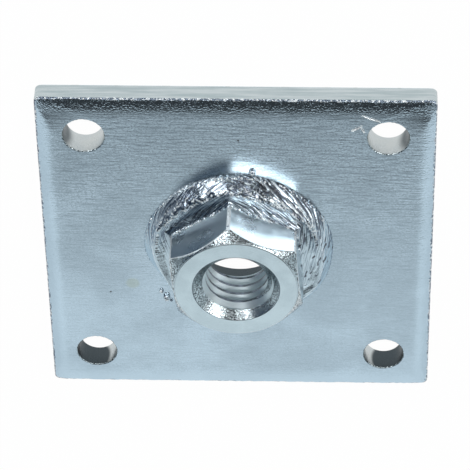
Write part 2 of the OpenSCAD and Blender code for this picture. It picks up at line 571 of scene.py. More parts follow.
def plate_material(finish, top, half):
    """Bright zinc over rolled strip: fine lines along X, clouds, a stain and two specks."""
    material, tree, shader, place = metal("plate_zinc")
    cloud, grain = zinc_cloud(tree, place, 120.0, 3600.0)
    lines = drawn_out(tree, place, (420.0, 3200.0, 420.0))
    speckle = drawn_out(tree, place, (4000.0, 4600.0, 4000.0), 1.0)
    parts = add_node(tree, "ShaderNodeSeparateXYZ", {0: place}).outputs
    across = math_node(tree, "ABSOLUTE", parts["X"])
    along = math_node(tree, "ABSOLUTE", parts["Y"])

    # The lines show most on the far half of the plate, and the roll at its far edge is the coarsest
    upper = remap(tree, parts["Y"], -0.012, 0.018, 0.3, 1.0)
    roll_range = ((half - 2.8) * MM, (half - 0.8) * MM)
    roll = remap(tree, larger(tree, across, along), *roll_range)
    far_roll = remap(tree, parts["Y"], *roll_range, 0.0, 4.5)

    base = mix_colour(tree, times(tree, cloud, 0.2), finish.zinc, finish.zinc_dull)
    mottle = larger(tree, remap(tree, lines, 0.46, 0.72), remap(tree, grain, 0.45, 0.62, 0.0, 0.75))
    mottle = times(tree, mottle, upper)
    mottle = times(tree, mottle, remap(tree, roll, 0.0, 1.0, 1.0, 0.2))
    base = mix_colour(tree, times(tree, mottle, 0.9), base, finish.zinc_dull)
    stain = round_spot(tree, place, (*STAIN_AT, top), 0.9, 0.25)
    base = mix_colour(tree, times(tree, stain, 0.6), base, finish.stain)
    for speck in SPECKS_AT:
        base = mix_colour(tree, round_spot(tree, place, (*speck, top), 0.13, 0.05), base, finish.soot_and_shade)

    burnish = remap(tree, roll, 0.0, 1.0, 1.0, 0.5)
    rough = times(tree, remap(tree, cloud, 0.0, 1.0, 0.17, 0.22), burnish)
    height = plus(tree, times(tree, lines, upper), times(tree, grain, 0.4))
    height = plus(tree, height, times(tree, speckle, plus(tree, far_roll, roll)))
    dress(tree, shader, base, rough, height, 1.0e-5)
    return material


def worn_and_highlight_material(finish, name, spared, metallic, roughness, skin=1.0e-4):
    """Worn edges, partly a painted highlight: pale and less metallic, so that they read bright under any
    light, with a coarse sparkle, apart from a spared share.
    """
    material, tree, shader, place = metal(name)
    cloud, grain = zinc_cloud(tree, place, 2600.0, 4500.0)
    rubbed_and_highlight = remap(tree, cloud, spared, spared + 0.25)
    # Painted highlight, partly wear: the pale share is made less metallic so that it reads bright under any
    # light.
    feed(tree, shader.inputs["Metallic"], remap(tree, rubbed_and_highlight, 0.0, 1.0, 1.0, metallic))
    dress(tree, shader, mix_colour(tree, rubbed_and_highlight, finish.slate, finish.worn), roughness, grain, skin)
    return material


def sheared_material(finish):
    """The plate's cut sides: mottled zinc over drag marks."""
    material, tree, shader, place = metal("sheared_zinc")
    cloud, grain = zinc_cloud(tree, place, 700.0, 4500.0)
    bands = drawn_out(tree, place, (120.0, 120.0, 2200.0))
    base = mix_colour(tree, remap(tree, bands, 0.35, 0.65, 0.0, 0.3), finish.side_zinc, finish.worn)
    base = mix_colour(tree, remap(tree, grain, 0.5, 0.8, 0.0, 0.3), base, finish.zinc_dull)
    height = plus(tree, bands, times(tree, grain, 0.6))
    dress(tree, shader, base, remap(tree, cloud, 0.0, 1.0, 0.3, 0.42), height, 1.6e-5)
    return material


def punched_material(finish):
    """The walls of the holes: bright where the punch burnished them, with patches of painted shade in the
    dark colour.
    """
    material, tree, shader, place = metal("punched_zinc")
    cloud, grain = zinc_cloud(tree, place, 400.0, 4000.0)
    base = mix_colour(tree, times(tree, cloud, 0.3), finish.wall_zinc, finish.zinc_dull)
    # Painted shade: dark patches on the walls of the holes, standing in for shade and dark reflections.
    for centre, radius, soft, share in PAINTED_SHADE_PATCHES:
        painted_shade = times(tree, round_spot(tree, place, centre, radius, soft), share)
        base = mix_colour(tree, painted_shade, base, finish.bare_and_shade)
    dress(tree, shader, base, remap(tree, grain, 0.2, 0.8, 0.25, 0.4), grain, 8.0e-6)
    return material


# Finishes of the nut and the weld


def nut_material(finish, name, smoothest, dullest):
    """Satin zinc on the nut, with a fine tumbled grain."""
    material, tree, shader, place = metal(name)
    cloud, grain = zinc_cloud(tree, place, 350.0, 8000.0)
    clouded = remap(tree, cloud, 0.0, 1.0, 0.0, 0.15)
    dull = larger(tree, clouded, remap(tree, grain, 0.5, 0.8, 0.0, 0.4))
    base = mix_colour(tree, dull, finish.nut_zinc, finish.zinc_dull)
    dress(tree, shader, base, remap(tree, cloud, 0.0, 1.0, smoothest, dullest), grain, 2.5e-6)
    return material


def turned_material(finish, name, pitted, skin):
    """Turned chamfers and torn rims: pitted by the tool, so that they sparkle."""
    material, tree, shader, place = metal(name)
    cloud, grain = zinc_cloud(tree, place, 900.0, 5200.0)
    pits = remap(tree, grain, pitted, pitted + 0.16, 0.0, 0.9)
    base = mix_colour(tree, pits, finish.nut_zinc, finish.bare_and_shade)
    dress(tree, shader, base, remap(tree, cloud, 0.0, 1.0, 0.06, 0.14), grain, skin)
    return material


def painted_shade_crest_material(finish):
    """Painted shade on the crests of the thread and the rim of the mouth: a dark finish that stands in for
    the dark reflection there.
    """
    material, tree, shader, place = metal("painted_shade_crests")
    cloud, grain = zinc_cloud(tree, place, 900.0, 5000.0)
    dress(tree, shader, mix_colour(tree, cloud, finish.bare_and_shade, finish.slate), 0.4, grain, 5.0e-6)
    return material


def weld_material(finish):
    """Zinc over weld metal: pale spots of painted highlight on the ridges, dark in the grooves, and a painted
    shadow along the toe.
    """
    material, tree, shader, place = metal("weld_zinc")
    cloud, grain = zinc_cloud(tree, place, 900.0, 7000.0)
    soot_and_shade = add_node(tree, "ShaderNodeAttribute", attribute_name="soot_and_shade").outputs["Fac"]
    # The pale, less metallic spots are painted highlights that stand in for glints, partly wear.
    rubbed_and_highlight = add_node(tree, "ShaderNodeAttribute", attribute_name="rubbed_and_highlight").outputs["Fac"]
    base = mix_colour(tree, times(tree, cloud, 0.2), finish.weld_zinc, finish.zinc_dull)
    # The dark mask goes to slate, then to the darkest colour: scale, darkening in grooves, and a painted
    # shadow along the toe.
    base = mix_colour(tree, remap(tree, soot_and_shade, 0.0, 0.6), base, finish.slate)
    base = mix_colour(tree, remap(tree, soot_and_shade, 0.55, 0.92), base, finish.soot_and_shade)
    base = mix_colour(tree, rubbed_and_highlight, base, finish.worn)
    feed(tree, shader.inputs["Metallic"], remap(tree, rubbed_and_highlight, 0.0, 1.0, 1.0, 0.3))
    dress(tree, shader, base, remap(tree, cloud, 0.0, 1.0, 0.06, 0.14), grain, 1.5e-5)
    return material


# The plate


# Facets round a punched hole, and how uneven its rim is: the waves' closeness and their share of the radius
HOLE_STEPS = 128
RIM_WAVES = 3.4
RIM_RAGGED = 0.025
# Rings of faces across the rolled edge, how much closer they lie at the edge, and cuts along each side
ROLL_RINGS = 16
RING_CROWDING = 1.5
SIDE_CUTS = 299
# How uneven the die left the edge, in millimetres: the roll, the foot of the lip, the sides and the lip's top
ROLL_WAVE = 0.012
LIP_NICK = 0.05
SIDE_WAVE = 0.012
LIP_WAVE = 0.14
# How far the sides keep inside the blank
SIDE_ROOM = 0.002
# Scrapes in the front face: start, end, width and depth in millimetres
SCRAPES = {
    "long_scrape": ((16.4, 23.95), (18.9, 22.85), 0.5, 0.2),
    "left_scrape": ((15.1, 21.2), (16.6, 22.25), 0.55, 0.22),
    "right_scrape": ((16.3, 22.1), (16.85, 20.9), 0.4, 0.16),
}


def hole_drill(place, radius, taper, roll, top):
    """A cutter for a punched hole: its rim rolls over at the front face, a little unevenly."""
    past = 1.0
    rim = arc((radius + roll, top - roll), roll, 180.0, 90.0, 6)
    outline = [
        (0.0, -past),
        (radius - taper, -past),
        (radius - taper, 0.0),
        *rim,
        (radius + roll, top + past),
        (0.0, top + past),
    ]
    drill = turned("drill", outline, HOLE_STEPS)
    for vert in drill.data.vertices:
        if vert.co.xy.length > radius + 0.001:
            ragged = noise.noise(Vector((vert.co.x + place[0], vert.co.y + place[1], 0.0)) * RIM_WAVES)
            vert.co.xy *= 1 + RIM_RAGGED * ragged
        vert.co.xy += Vector(place)
    return drill


def roll_drop_at(plate, depth):
    """How far the front face has dropped at some distance from the edge."""
    return plate.roll_drop * max(1 - depth / plate.roll_width, 0.0) ** plate.roll_power


def roll_edge_over(piece, plate):
    """Raise the front face ring by ring, as it rolls over towards the edge that the die cut."""
    pick(piece, "FACE", lambda face: face.normal.z > 0.9)
    bpy.ops.mesh.inset(thickness=plate.lip, depth=0.0)
    bpy.ops.transform.translate(value=(0, 0, plate.lip))
    depth = plate.lip
    for ring in range(1, ROLL_RINGS + 1):
        next_depth = plate.lip + (plate.roll_width - plate.lip) * (ring / ROLL_RINGS) ** RING_CROWDING
        rise = roll_drop_at(plate, depth) - roll_drop_at(plate, next_depth)
        bpy.ops.mesh.inset(thickness=next_depth - depth, depth=0.0)
        bpy.ops.transform.translate(value=(0, 0, rise))
        depth = next_depth


def wear_edges(piece, plate):
    """Round the upright corners, and leave the sheared edge as uneven as the die does."""
    half = plate.side / 2
    for vert in piece.data.vertices:
        depth = half - max(abs(vert.co.x), abs(vert.co.y))
        fine = noise.noise(vert.co * 2.4) + 0.7 * noise.noise(vert.co * 5.5)
        if vert.co.z > plate.thickness / 2:
            vert.co.z -= ROLL_WAVE * (1 - ease(0.0, 2.0, depth)) * max(1 + fine, 0.0)
        if vert.co.z > plate.thickness / 2 and depth < plate.lip / 2:
            vert.co.z -= LIP_NICK * max(0.6 + fine, 0.0)
        inwards = SIDE_ROOM + SIDE_WAVE * (1 - ease(0.0, 0.3, depth)) * max(1 + fine, 0.0)
        if plate.lip / 2 < depth < 1.5 * plate.lip:
            inwards += LIP_WAVE * max(0.3 + fine, 0.0)
        vert.co.xy *= 1 - inwards / half
        rounding = plate.corner + plate.roll_spread * depth
        centre = half - depth - rounding
        over = Vector((abs(vert.co.x) - centre, abs(vert.co.y) - centre))
        if min(over) > 0:
            over *= max(over) / over.length
            vert.co.x = math.copysign(centre + over.x, vert.co.x)
            vert.co.y = math.copysign(centre + over.y, vert.co.y)
        if vert.co.z > plate.thickness / 2:
            corner_away = math.hypot(half - abs(vert.co.x), half - abs(vert.co.y))
            vert.co.z -= plate.corner_drop * max(1 - corner_away / plate.corner_reach, 0.0) ** 2


def gouge(name, start, end, width, depth, top):
    """A cutter for a scrape in the front face, from one point to another."""
    along = Vector(end) - Vector(start)
    middle = (Vector(end) + Vector(start)) / 2
    return add(
        bpy.ops.mesh.primitive_uv_sphere_add,
        name,
        segments=16,
        ring_count=10,
        radius=1.0,
        location=(middle.x, middle.y, top),
        rotation=(0, 0, math.atan2(along.y, along.x)),
        scale=(along.length / 2, width / 2, depth),
    )


def plate_zone(face, plate):
    """Which finish a face of the plate has: 0 rolled, 1 sheared, 2 punched, 3 lip, 4 torn rims, 5 scraped."""
    steep = 0.35
    level = 0.985
    tilt = face.normal.z
    hole = Vector((abs(face.center.x) - plate.hole_pitch / 2, abs(face.center.y) - plate.hole_pitch / 2))
    if steep < tilt < level and hole.length < plate.hole_radius + 2 * plate.hole_roll:
        return 4
    inside = max(abs(face.center.x), abs(face.center.y)) < plate.side / 2 - 1
    if abs(tilt) < steep:
        return 2 if inside else 1
    if inside and 0 < tilt < level:
        return 5
    return 3 if 0 < tilt < 0.93 else 0


def model_plate(plate):
    """Blank the plate, roll its front edge over, and punch its holes."""
    lip_height = plate.thickness - roll_drop_at(plate, plate.lip) - plate.lip
    piece = add(
        bpy.ops.mesh.primitive_cube_add,
        "plate_blank",
        size=1.0,
        location=(0, 0, lip_height / 2),
        scale=(plate.side, plate.side, lip_height),
    )
    with editing(piece):
        pick(piece, "EDGE", lambda edge: all(vert.co.z < lip_height / 4 for vert in edge.verts))
        bpy.ops.mesh.bevel(offset=plate.burr, segments=2, affect="EDGES")
        roll_edge_over(piece, plate)
        pick(piece, "EDGE", lambda edge: edge.calc_length() > plate.side / 2)
        bpy.ops.mesh.subdivide(number_cuts=SIDE_CUTS)
    wear_edges(piece, plate)
    half = plate.hole_pitch / 2
    holes = [
        ((x, y), plate.hole_radius, plate.hole_taper) for y in (-half, half) for x in (-half, half)
    ]
    holes.append(((0.0, 0.0), plate.clearance, 0.0))
    for place, radius, taper in holes:
        cut(piece, hole_drill(place, radius, taper, plate.hole_roll, plate.thickness))
    for name, (start, end, width, depth) in SCRAPES.items():
        cut(piece, gouge(name, start, end, width, depth, plate.thickness))
    for face in piece.data.polygons:
        face.material_index = plate_zone(face, plate)
    smooth(piece, 28.0)
    return piece


# The nut


# Facets round the turned ring, and round each turn of the thread
RING_STEPS = 240
THREAD_STEPS = 96


def nut_corner(nut):
    """Distance from the axis to a sharp corner of the hexagon."""
    return nut.flats / 2 / math.cos(math.radians(30))


def model_nut(nut, floor):
    """Turn a chamfered and countersunk ring, give it six flats, and cut its thread."""
    piece = turned("hexagon_nut", ring_outline(nut, floor), RING_STEPS)
    flats = add(
        bpy.ops.mesh.primitive_cylinder_add,
        "hexagon_bar",
        vertices=6,
        radius=nut_corner(nut),
        depth=2 * nut.height,
        location=(0, 0, floor + nut.height / 2),
        rotation=(0, 0, nut.turn),
    )
    with editing(flats):
        pick(flats, "EDGE", lambda edge: abs(edge.verts[0].co.z - edge.verts[1].co.z) > nut.height)
        bpy.ops.mesh.bevel(offset=nut.edge, segments=3, affect="EDGES")
    cut(piece, flats, "INTERSECT")
    with editing(piece):
        pick(piece, "EDGE", lambda edge: is_outer_edge(edge, nut))
        bpy.ops.mesh.bevel(offset=nut.break_edge, segments=2, affect="EDGES")
    cut(piece, thread_tap(nut, floor))
    for face in piece.data.polygons:
        face.material_index = nut_zone(face, nut)
    crisp(piece, 34.0, lambda face: face.calc_area() > 3.0 or abs(face.normal.z) > 0.999)
    return piece


def is_outer_edge(edge, nut):
    """Whether an edge is one of the sharp ones round the outside of the nut."""
    outside = all(vert.co.xy.length > nut.mouth_radius + 1 for vert in edge.verts)
    return outside and edge.calc_face_angle() > math.radians(20)


def nut_zone(face, nut):
    """Which finish a face of the nut has: 0 satin, 1 turned, 2 painted shade on crests and mouth rim, 3 worn
    with a painted highlight, 4 faced, 5 tapped.
    """
    reach = face.center.xy.length
    tilt = abs(face.normal.z)
    # Painted shade: the thread's crests take the dark finish, standing in for the dark reflection there.
    if tilt < 0.1 and reach < nut.crest_radius + 0.08:
        return 2
    # Painted shade: the rim of the mouth takes the dark finish, as a dark outline.
    if 0.75 < tilt < 0.999 and abs(reach - nut.mouth_radius) < 3 * nut.break_edge:
        return 2
    # Wear with a painted highlight: the six upright edges take the pale, less metallic finish.
    if tilt < 0.3 and reach > nut_corner(nut) - nut.edge:
        return 3
    if 0.55 < tilt < 0.85 and (reach < nut.mouth_radius or reach > nut.face_radius):
        return 1
    if reach < nut.root_radius + 0.05:
        return 5
    return 4 if tilt > 0.999 else 0


def rounded_bend(before, corner, after, radius):
    """A corner of an outline, rounded: the points of the arc between its two straight sides."""
    to_before = (Vector(before) - Vector(corner)).normalized()
    to_after = (Vector(after) - Vector(corner)).normalized()
    half_angle = to_before.angle(to_after) / 2
    centre = Vector(corner) + (to_before + to_after).normalized() * radius / math.sin(half_angle)
    start = Vector(corner) + to_before * radius / math.tan(half_angle) - centre
    end = Vector(corner) + to_after * radius / math.tan(half_angle) - centre
    points = []
    steps = 4
    for step in range(steps + 1):
        points.append(tuple(centre + start.slerp(end, step / steps).normalized() * radius))
    return points


def ring_outline(nut, floor):
    """Section of the turned ring: bore, both countersinks, both end faces and the corner chamfers."""
    top = floor + nut.height
    mouth_end = (nut.crest_radius, top - (nut.mouth_radius - nut.crest_radius))
    back_end = (nut.crest_radius, floor + nut.back_radius - nut.crest_radius)
    widest = nut.face_radius + nut.height / 2 / math.tan(nut.chamfer)
    rim = rounded_bend(mouth_end, (nut.mouth_radius, top), (nut.face_radius, top), nut.break_edge)
    return [
        mouth_end,
        *rim,
        (nut.face_radius, top),
        (widest, floor + nut.height / 2),
        (nut.face_radius, floor),
        (nut.back_radius, floor),
        back_end,
    ]


def thread_tap(nut, floor):
    """A tap: one turn's tooth carried up a right-hand helix, and closed at both ends."""
    core = nut.crest_radius - 0.2
    flank = (nut.root_radius - core) * math.tan(math.radians(30))
    flat = nut.pitch / 16
    middle = nut.pitch / 2
    tooth = [
        (core, 0.0),
        (core, middle - flat - flank),
        (nut.root_radius, middle - flat),
        (nut.root_radius, middle + flat),
        (core, middle + flat + flank),
        (core, nut.pitch),
    ]
    tap = open_line("tap", tooth)
    turns = math.ceil(nut.height / nut.pitch) + 4
    apply_modifier(
        tap,
        "SCREW",
        axis="Z",
        angle=2 * math.pi,
        steps=THREAD_STEPS,
        screw_offset=nut.pitch,
        iterations=turns,
        use_merge_vertices=False,
    )
    with editing(tap):
        bpy.ops.mesh.select_all(action="SELECT")
        bpy.ops.mesh.remove_doubles(threshold=1e-3)
        bpy.ops.mesh.select_all(action="DESELECT")
        bpy.ops.mesh.select_mode(type="VERT")
        bpy.ops.mesh.select_non_manifold()
        bpy.ops.mesh.fill_holes(sides=0)
        face_outwards(tap)
    make_active(tap)
    tap.location = (0, 0, floor - 2 * nut.pitch)
    tap.rotation_euler = (0, 0, nut.thread_start)
    bpy.ops.object.transform_apply(location=True, rotation=True, scale=True)
    return tap


# The weld


# Rows across the bead and steps round it, and how much closer the rows lie together at the toe
BEAD_ROWS = 80
BEAD_STEPS = 1080
TOE_CROWDING = 1.25
# How far weld metal reaches into what it sits on
SUNK = 0.02
NUT_OVERLAP = 0.05
# Most darkening, scale and painted shadow together, that a spot on the bead can carry
MOST_SOOT_AND_SHADE = 0.92


def hexagon_reach(direction, nut):
    """Distance from the axis to the nut's side."""
    sixth = math.pi / 3
    from_corner = (direction - nut.turn - math.pi / 2) % sixth
    return nut.flats / 2 / math.cos(from_corner - sixth / 2)


def turn_from(direction, other):
    """The shorter turn between two directions, in degrees."""
    return abs((math.degrees(direction - other) + 180) % 360 - 180)


def bead_spot(direction, across, weld, nut):
    """A spot on the bead before its fine relief: across is 0 at the toe and 1 on the nut."""
    around = Vector((math.cos(direction), math.sin(direction), 0.0))
    drift = noise.noise(around * 2.1 + Vector((3.7, 1.2, 8.8)))
    wobble = noise.noise(around * 9.0 + Vector((0.0, 5.0, across * 0.8)))
    teeth = noise.noise(around * 40.0)
    # The far side is lively, the right side is plain, and the deepest streaks lie between them
    lively = 1 - ease(62.0, 92.0, turn_from(direction, weld.run_start))
    plain = bell(turn_from(direction, 0.0), 0.0, 45.0)
    deepest = bell(turn_from(direction, weld.streak_side), 0.0, 30.0)

    toe = nut.flats / 2 + weld.leg - weld.oval * math.cos(2 * direction) + 0.2 * drift
    toe -= weld.hollow * bell(turn_from(direction, weld.hollow_side), 0.0, 24.0)
    inner = hexagon_reach(direction, nut) - NUT_OVERLAP
    ragged = 0.1 * noise.noise(around * 30.0) + 0.08 * noise.noise(around * 75.0)
    radius = toe + (inner - toe) * across + ragged * (1 - ease(0.0, 0.06, across))
    full = weld.height + weld.swell * math.cos(direction - weld.swell_side) + 0.2 * drift
    slope = 3 * (1 - across) ** 2 * full / (toe - inner)
    height = full * (1 - (1 - across) ** 3)
    height += weld.crest * (1 + lively * wobble) * bell(across, weld.crest_at, 0.13)
    height -= weld.dip * bell(across, 0.7, 0.17)
    height += (0.1 + 0.3 * lively * teeth) * bell(across, 0.97, 0.04)
    place = around * radius + Vector((0, 0, height))

    # The two runs meet on the far and the near side, so the streaks lean both ways from there
    lean = weld.lean * toe * math.radians(turn_from(direction, weld.run_start))
    band = across * weld.leg - lean + 0.25 * noise.noise(around * 4.0)
    return SimpleNamespace(
        direction=direction,
        across=across,
        around=around,
        toe=toe,
        place=place,
        outward=(around * slope + Vector((0, 0, 1))).normalized(),
        lively=lively,
        plain=plain,
        deepest=deepest,
        wobble=wobble,
        teeth=teeth,
        band=band,
        streak=noise.noise(around * (toe / 2.6) + Vector((0, 0, band / weld.streak))),
        ticks=hump(weld.ripples * 3 * direction / (2 * math.pi) + 3 * across + 1.5 * wobble),
        dots=noise.noise(place * 3.6 + Vector((0, 0, 9.0))),
    )


def bead_lift(spot, weld):
    """How far the fine relief stands out: ripples, streaks, ticks on the crest, dots on the toe and grain."""
    arch = 2.5 * (2 * spot.across - 1) ** 2
    ridge = hump(weld.ripples * spot.direction / (2 * math.pi) + arch + 0.9 * spot.wobble)
    strand = noise.noise(spot.around * (spot.toe / 1.4) + Vector((7, 3, 1.8 * spot.band / weld.streak)))
    rough = noise.noise(spot.place * 2.2) + 0.6 * noise.noise(spot.place * 6.0)
    streaky = 0.08 + 0.15 * spot.plain + 0.3 * spot.lively + 0.7 * spot.deepest
    lift = weld.ripple_depth * (ridge - 0.65) * (0.1 + 0.5 * spot.lively)
    lift += weld.streak_depth * streaky * (spot.streak + 0.6 * strand)
    lift += weld.tick * spot.lively * (spot.ticks - 0.5) * bell(spot.across, weld.crest_at + 0.1, 0.05)
    lift += 0.35 * max(spot.dots, 0.0) * spot.lively * bell(spot.across, 0.035, 0.025)
    lift += weld.grain * rough * (0.3 + 0.7 * spot.lively)
    return lift


def bead_soot_and_shade(spot, place, weld):
    """How dark a spot is: scale in the valley, darker on the outer slope and in grooves, burnt patches,
    flecks, a painted shadow along the toe, and a light share over the lively side.
    """
    across = spot.across
    from_soot_side = turn_from(spot.direction, weld.soot_side)
    groove = ease(-0.15, 0.3, -spot.streak)
    valley = bell(from_soot_side, 0.0, 30.0) * ease(0.46, 0.58, across)
    valley *= (1 - ease(0.9, 0.95, across)) * (0.2 + 0.55 * groove)
    outer = 0.62 * bell(from_soot_side, 6.0, 28.0) * ease(0.04, 0.1, across)
    outer *= (1 - ease(0.34, 0.42, across)) * (0.7 + 0.3 * groove)
    cracked = min(0.08 + 0.2 * spot.plain + 0.45 * spot.lively + 0.5 * spot.deepest, 0.76)
    crack = ease(-0.03, 0.2, -spot.streak) * cracked
    burnt = bell(turn_from(spot.direction, weld.burnt_side), 0.0, 18.0)
    burnt *= ease(0.03, 0.1, across) * (1 - ease(0.3, 0.42, across))
    burnt *= ease(-0.2, 0.15, noise.noise(place * 1.1))
    flecks = noise.noise(spot.around * (spot.toe / 0.9) + Vector((2, 8, spot.band / 0.4)))
    fleck = 0.95 * spot.plain * ease(0.37, 0.5, flecks)
    # Painted shadow: a dark line along the toe on the plain sides, where the weld meets the plate.
    rim = 0.4 * (1 - spot.lively) * (1 - ease(0.015, 0.05, across))
    return min(max(valley, outer, crack, 0.7 * burnt, fleck, rim, 0.24 * spot.lively), MOST_SOOT_AND_SHADE)


def bead_rubbed_and_highlight(spot, weld):
    """How pale a spot is painted, as painted highlights that are partly wear: on the crest, on the toe, on
    the teeth at the nut and along streaks.
    """
    patchy = ease(-0.15, 0.1, noise.noise(spot.around * 14.0))
    on_lively_side = max(
        patchy * ease(0.5, 0.8, spot.ticks) * bell(spot.across, weld.crest_at + 0.1, 0.045),
        ease(0.1, 0.3, spot.dots) * bell(spot.across, 0.04, 0.03),
        ease(0.0, 0.25, spot.teeth) * bell(spot.across, 0.965, 0.03),
        ease(0.2, 0.4, spot.dots) * bell(spot.across, weld.crest_at, 0.16),
    )
    return max(spot.lively * on_lively_side, 0.8 * spot.deepest * ease(0.15, 0.4, spot.streak))


def bead_point(direction, across, weld, nut):
    """A point of the bead, how dark it is, with scale and a painted shadow, and how pale, with painted
    highlights that are partly wear.
    """
    spot = bead_spot(direction, across, weld, nut)
    place = spot.place + spot.outward * bead_lift(spot, weld) * ease(0.0, 0.06, across)
    place.z = max(place.z, 0.0) if across > 0 else -SUNK
    return place, bead_soot_and_shade(spot, place, weld), bead_rubbed_and_highlight(spot, weld)


def model_weld(weld, nut, floor):
    """Wrap a grid round the nut, lay the bead's surface on it, and close it underneath."""
    piece = add(
        bpy.ops.mesh.primitive_grid_add,
        "weld_run",
        x_subdivisions=BEAD_STEPS,
        y_subdivisions=BEAD_ROWS,
        size=2.0,
    )
    values = {"soot_and_shade": [], "rubbed_and_highlight": []}
    for vert in piece.data.vertices:
        across = ((vert.co.y + 1) / 2) ** TOE_CROWDING
        place, soot_and_shade, rubbed_and_highlight = bead_point(math.pi * vert.co.x, across, weld, nut)
        vert.co = place + Vector((0, 0, floor))
        values["soot_and_shade"].append(soot_and_shade)
        values["rubbed_and_highlight"].append(rubbed_and_highlight)
    for name, numbers in values.items():
        piece.data.attributes.new(name, "FLOAT", "POINT").data.foreach_set("value", numbers)
    inner_reach = nut_corner(nut) + 0.01
    with editing(piece):
        pick(piece, "VERT", lambda vert: vert.is_boundary)
        bpy.ops.mesh.remove_doubles(threshold=MERGE)
        pick(
            piece,
            "EDGE",
            lambda edge: edge.is_boundary and all(vert.co.xy.length < inner_reach for vert in edge.verts),
        )
        bpy.ops.mesh.extrude_region_move()
        mesh = bmesh.from_edit_mesh(piece.data)
        for vert in mesh.verts:
            if vert.select:
                vert.co.z = floor - SUNK
        bmesh.update_edit_mesh(piece.data)
        pick(piece, "EDGE", lambda edge: edge.is_boundary)
        bpy.ops.mesh.bridge_edge_loops()
        face_outwards(piece)
    make_active(piece)
    bpy.ops.object.shade_smooth_by_angle(angle=math.radians(60))
    return piece


# Droplets beside the bead: place and radius in millimetres
DROPLETS = (
    (2.1, 13.9, 0.45),
    (-9.9, -9.35, 0.5),
    (-10.6, -8.2, 0.3),
    (-9.3, -9.9, 0.22),
)


def model_spatter(floor):
    """Droplets that froze on the plate: balls with a flattened foot and a lumpy skin."""
    drops = []
    for index, (x, y, radius) in enumerate(DROPLETS):
        drop = add(
            bpy.ops.mesh.primitive_ico_sphere_add, f"droplet_{index}", subdivisions=4, radius=radius
        )
        for vert in drop.data.vertices:
            lumps = noise.noise(vert.co * (1.6 / radius) + Vector((index * 3.1, 0, 0)))
            vert.co *= 1 + 0.07 * lumps
            vert.co.z = max(vert.co.z * 0.95 + radius * 0.4, -SUNK)
            vert.co += Vector((x, y, floor))
        drops.append(drop)
    bpy.ops.object.select_all(action="DESELECT")
    for drop in drops:
        drop.select_set(True)
    bpy.context.view_layer.objects.active = drops[0]
    bpy.ops.object.join()
    piece = drops[0]
    piece.name = "frozen_droplets"
    piece.data.name = "frozen_droplets"
    with editing(piece):
        bpy.ops.mesh.select_all(action="SELECT")
        bpy.ops.mesh.remove_doubles(threshold=MERGE)
        face_outwards(piece)
    make_active(piece)
    bpy.ops.object.shade_smooth_by_angle(angle=math.radians(50))
    return piece


# The stage


def lay_floor(settings):
    """A white floor: it glows for the eye and for reflections, and still takes a soft shadow."""
    floor = add(bpy.ops.mesh.primitive_plane_add, "floor", size=settings.floor_size)
    material = bpy.data.materials.new("white_floor")
    material.use_nodes = True
    tree = material.node_tree
    tree.nodes.clear()
    path = add_node(tree, "ShaderNodeLightPath")
    seen = larger(tree, path.outputs["Is Camera Ray"], path.outputs["Is Glossy Ray"])
    seen = larger(tree, seen, path.outputs["Is Transmission Ray"])
    share = times(tree, seen, settings.floor_glow)
    matt = add_node(tree, "ShaderNodeBsdfDiffuse", {"Color": (0.9, 0.9, 0.9, 1.0)})
    glow = add_node(tree, "ShaderNodeEmission", {"Color": (1.0, 1.0, 1.0, 1.0), "Strength": 1.0})
    blend = add_node(tree, "ShaderNodeMixShader", {0: share, 1: matt.outputs[0], 2: glow.outputs[0]})
    add_node(tree, "ShaderNodeOutputMaterial", {"Surface": blend.outputs[0]})
    floor.data.materials.append(material)


# Brightness of the room by height: behind the object it falls off steeply, in front of it it doesn't
BACK_OF_ROOM = (
    (0.0, 0.8),
    (0.6, 0.76),
    (0.66, 0.76),
    (0.695, 0.85),
    (0.723, 0.86),
    (0.736, 0.73),
    (0.751, 0.32),
    (0.768, 0.12),
    (0.82, 0.045),
    (1.0, 0.035),
)
FRONT_OF_ROOM = (
    (0.0, 0.55),
    (0.2, 0.42),
    (0.35, 0.24),
    (0.5, 0.14),
    (0.65, 0.08),
    (0.8, 0.07),
    (0.88, 0.12),
    (0.93, 0.5),
    (0.98, 0.58),
    (1.0, 0.4),
)
DARK_WALL = (0.06, 0.09, 0.13, 1.0)

# Soft lamps: direction from the object, side in metres and power in watts
LAMPS = {
    "right_softbox": ((0.57, 0.4, 0.73), 0.22, 0.62),
    "right_halo": ((0.56, 0.4, 0.73), 0.29, 0.5),
    "left_softbox": ((-0.45, 0.8, 0.4), 0.16, 0.35),
    "front_spot": ((-0.1, 0.66, 0.74), 0.07, 0.12),
    "front_softbox": ((-0.36, 0.66, 0.65), 0.1, 0.34),
    "top_spot": ((-0.3, 0.3, 0.9), 0.07, 0.1),
    "left_spot": ((-0.85, 0.4, 0.35), 0.07, 0.1),
    "right_spot": ((0.86, 0.25, 0.45), 0.07, 0.1),
    "low_spot": ((0.12, 0.93, 0.35), 0.07, 0.1),
}
LAMP_TINT = (0.93, 0.95, 0.96)
LAMP_DISTANCE = 0.6


def softbox(scene, name, direction, size, energy):
    """A soft square lamp that points at the object."""
    lamp = bpy.data.lights.new(name, "AREA")
    lamp.shape = "SQUARE"
    lamp.size = size
    lamp.energy = energy
    lamp.color = LAMP_TINT
    stand = bpy.data.objects.new(name, lamp)
    scene.collection.objects.link(stand)
    stand.location = Vector(direction).normalized() * LAMP_DISTANCE
    stand.rotation_euler = stand.location.to_track_quat("Z", "Y").to_euler()


def room_ramp(tree, height, stops, tint):
    """Brightness by height, as a tinted ramp."""
    ramp = add_node(tree, "ShaderNodeValToRGB", {"Fac": height})
    elements = ramp.color_ramp.elements
    while len(elements) < len(stops):
        elements.new(1.0)
    for element, (position, level) in zip(elements, stops):
        element.position = position
        element.color = rgba(level * part for part in tint)
    return ramp.outputs["Color"]


